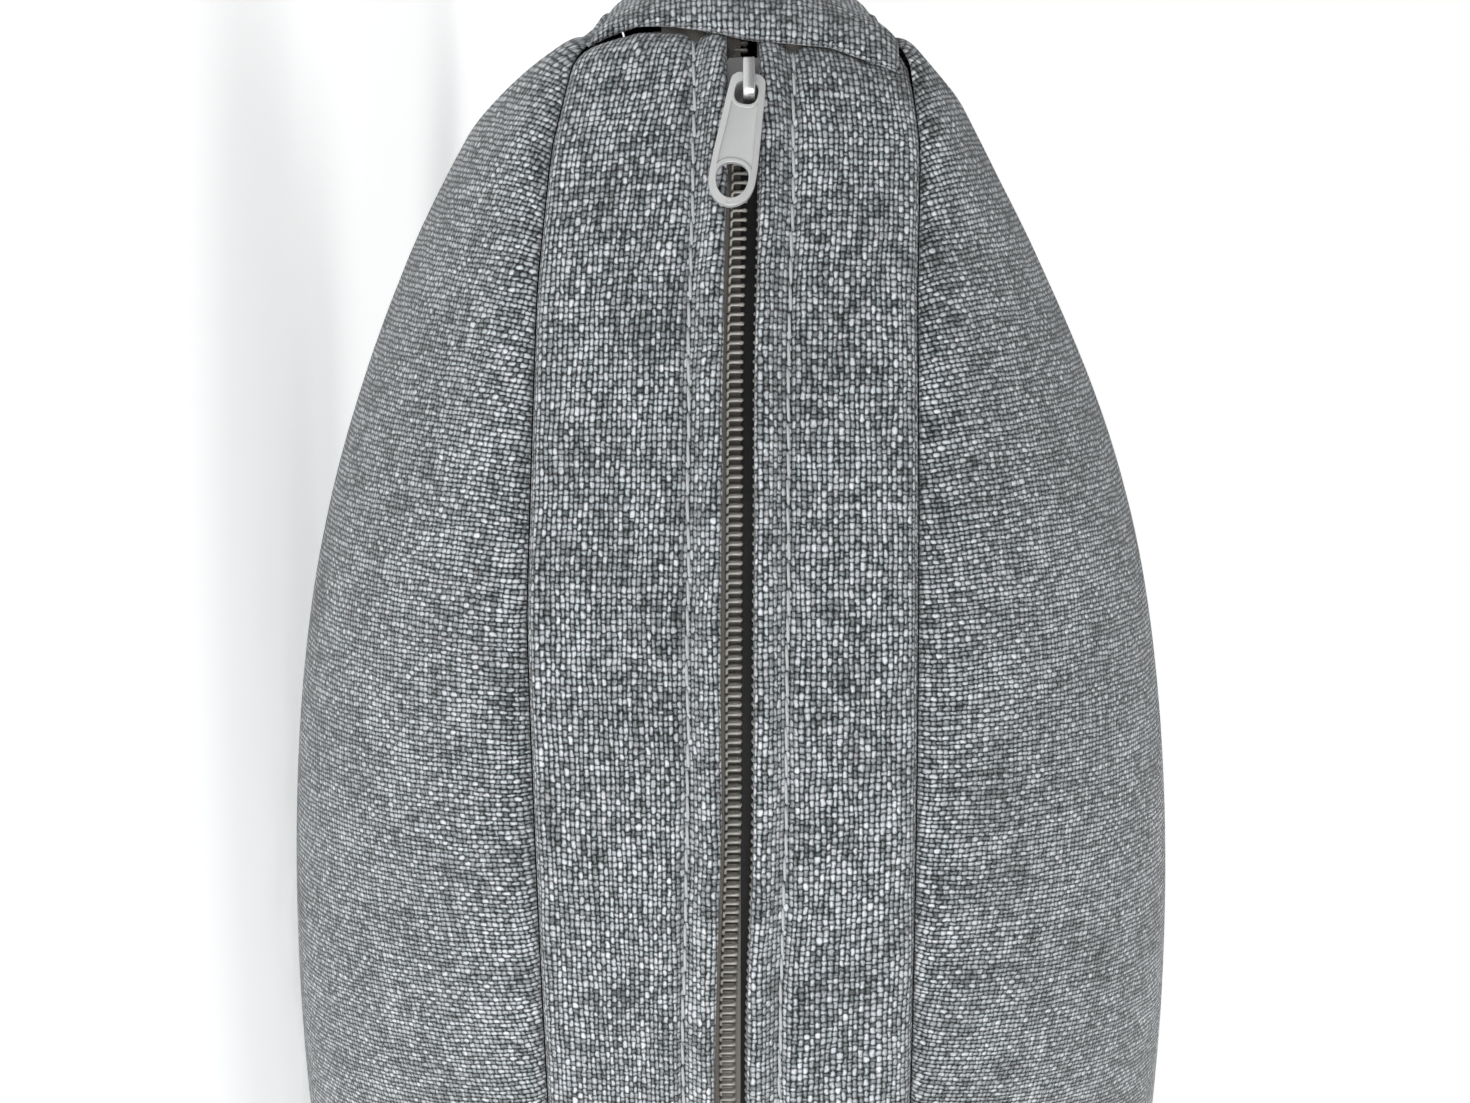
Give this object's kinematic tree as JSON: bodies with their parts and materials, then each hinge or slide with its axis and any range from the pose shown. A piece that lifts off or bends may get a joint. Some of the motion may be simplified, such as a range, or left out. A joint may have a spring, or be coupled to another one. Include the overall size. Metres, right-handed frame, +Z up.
{
  "type": "nursing pillow",
  "caption": "Half-moon nursing pillow with a woven cover, side band and a zip whose slider runs along the outer edge; loose inner cushion.",
  "frame": {"origin": "middle of the bounding box at the height of the surface the pillow lies on", "axes": "+Z up, through the thickness; X across the two horns, the zip's start on the +X horn; the waist opening faces -Y"},
  "size_m": [0.5208, 0.3692, 0.161],
  "materials": {
    "woven_cover": "coarse heather plain weave",
    "zip_tape": "fine herringbone tape",
    "zip_coil": "satin nylon coil",
    "sewing_thread": "polyester thread",
    "painted_zinc": "satin grey paint",
    "bridge_steel": "glossy",
    "liner": "plain dark grey",
    "fibre": "polyester fibre"
  },
  "bodies": {
    "pillow": {"cover_panel_top": "woven_cover", "cover_panel_bottom": "woven_cover", "side_band": "woven_cover", "zip_strip_upper": "woven_cover", "zip_strip_lower": "woven_cover", "zip_tape_upper": "zip_tape", "zip_tape_lower": "zip_tape", "zip_coil_upper": "zip_coil", "zip_coil_lower": "zip_coil", "topstitch_upper": "sewing_thread", "topstitch_lower": "sewing_thread", "inner_shell_top": "liner", "inner_shell_bottom": "liner", "filling": "fibre"},
    "slider": {"slider_body": "painted_zinc", "slider_bridge": "bridge_steel"},
    "pull": {"pull_tab": "painted_zinc"}
  },
  "joints": [
    {"name": "slider_travel", "type": "hinge", "parent": "pillow", "child": "slider", "pos_m": [0, -0.07537, 0.0834], "axis": [0, 0, 1], "range_deg": [0, 89]},
    {"name": "pull_flip", "type": "hinge", "parent": "slider", "child": "pull", "pos_m": [0.2452, -0.16824, 0.0834], "axis": [0, 0, -1], "range_deg": [0, 165]}
  ]
}
